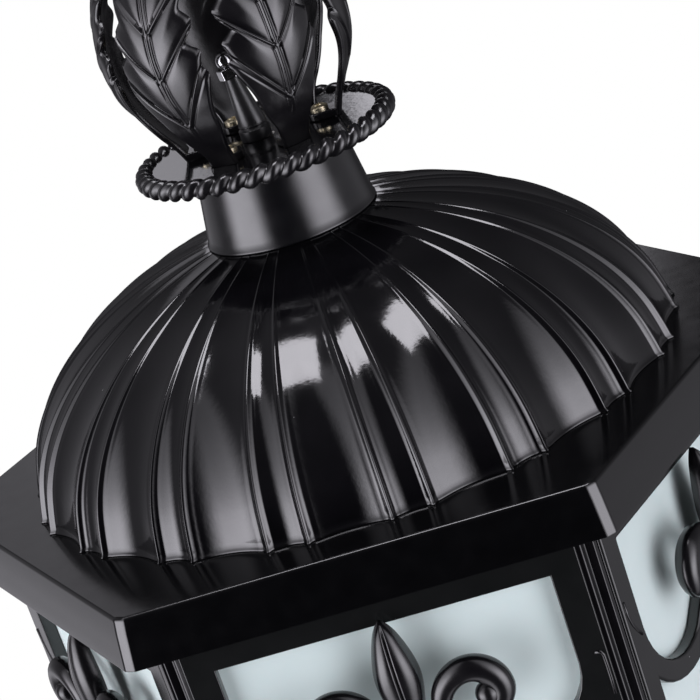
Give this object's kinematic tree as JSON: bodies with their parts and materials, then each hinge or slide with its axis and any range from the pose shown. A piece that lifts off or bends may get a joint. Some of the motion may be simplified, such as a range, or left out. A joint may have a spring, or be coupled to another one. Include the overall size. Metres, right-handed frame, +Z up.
{
  "type": "outdoor pendant light",
  "caption": "Hexagonal hanging lantern with a fluted dome, leaf crown, frosted panes and cast fleur-de-lis, swinging on a ring.",
  "frame": {"origin": "the point inside the top of the ring that bears on a hook, on the lantern's vertical axis", "axes": "+Z up along the lantern's axis, +X along the eye's hole and towards one corner of the hexagon, -Y towards the middle of one side"},
  "size_m": [0.3752, 0.3274, 0.592],
  "materials": {
    "gloss_black": "glossy black paint on cast aluminium",
    "cast_black": "glossy black paint on fine castings, with softened edges",
    "satin_black": "satin black paint",
    "zinc_screws": "bright zinc plate with a pale yellow cast",
    "zinc_steel": "zinc plate",
    "frosted_glass": "frosted pale green-white glass",
    "brass": "pressed brass",
    "porcelain": "glazed white",
    "opal_bulb": "opal white"
  },
  "bodies": {
    "ring": {"hanging_ring": "gloss_black"},
    "lantern": {"top_eye": "gloss_black", "eye_nut": "zinc_steel", "crown_cap": "gloss_black", "leaf_1": "cast_black", "leaf_2": "cast_black", "leaf_3": "cast_black", "leaf_4": "cast_black", "leaf_5": "cast_black", "leaf_6": "cast_black", "leaf_screws": "zinc_screws", "rope_flange": "cast_black", "stem_cone": "satin_black", "stem_nut": "satin_black", "stem_ball": "gloss_black", "collar": "satin_black", "dome": "gloss_black", "eave": "gloss_black", "threaded_tube": "zinc_steel", "tube_nut": "zinc_steel", "holder_bracket": "zinc_steel", "lampholder_body": "porcelain", "lampholder_shell": "brass", "lampholder_contact": "brass", "bulb": "opal_bulb", "head_ring": "satin_black", "head_screws": "zinc_steel", "post_1": "gloss_black", "post_2": "gloss_black", "post_3": "gloss_black", "post_4": "gloss_black", "post_5": "gloss_black", "post_6": "gloss_black", "frame_1": "gloss_black", "frame_2": "gloss_black", "frame_3": "gloss_black", "frame_4": "gloss_black", "frame_5": "gloss_black", "frame_6": "gloss_black", "pane_1": "frosted_glass", "pane_2": "frosted_glass", "pane_3": "frosted_glass", "pane_4": "frosted_glass", "pane_5": "frosted_glass", "pane_6": "frosted_glass", "ornament_1": "cast_black", "ornament_2": "cast_black", "ornament_3": "cast_black", "ornament_4": "cast_black", "ornament_5": "cast_black", "ornament_6": "cast_black", "pane_clips": "zinc_steel", "foot_ring": "satin_black", "foot_screws": "zinc_steel", "base_plate": "gloss_black", "base_boss": "gloss_black", "base_rod": "zinc_steel", "base_nut": "zinc_steel", "finial": "gloss_black"}
  },
  "joints": [
    {"name": "swing", "type": "hinge", "parent": "ring", "child": "lantern", "pos_m": [0, 0, -0.048], "axis": [1, 0, 0], "range_deg": [-75, 75]}
  ]
}
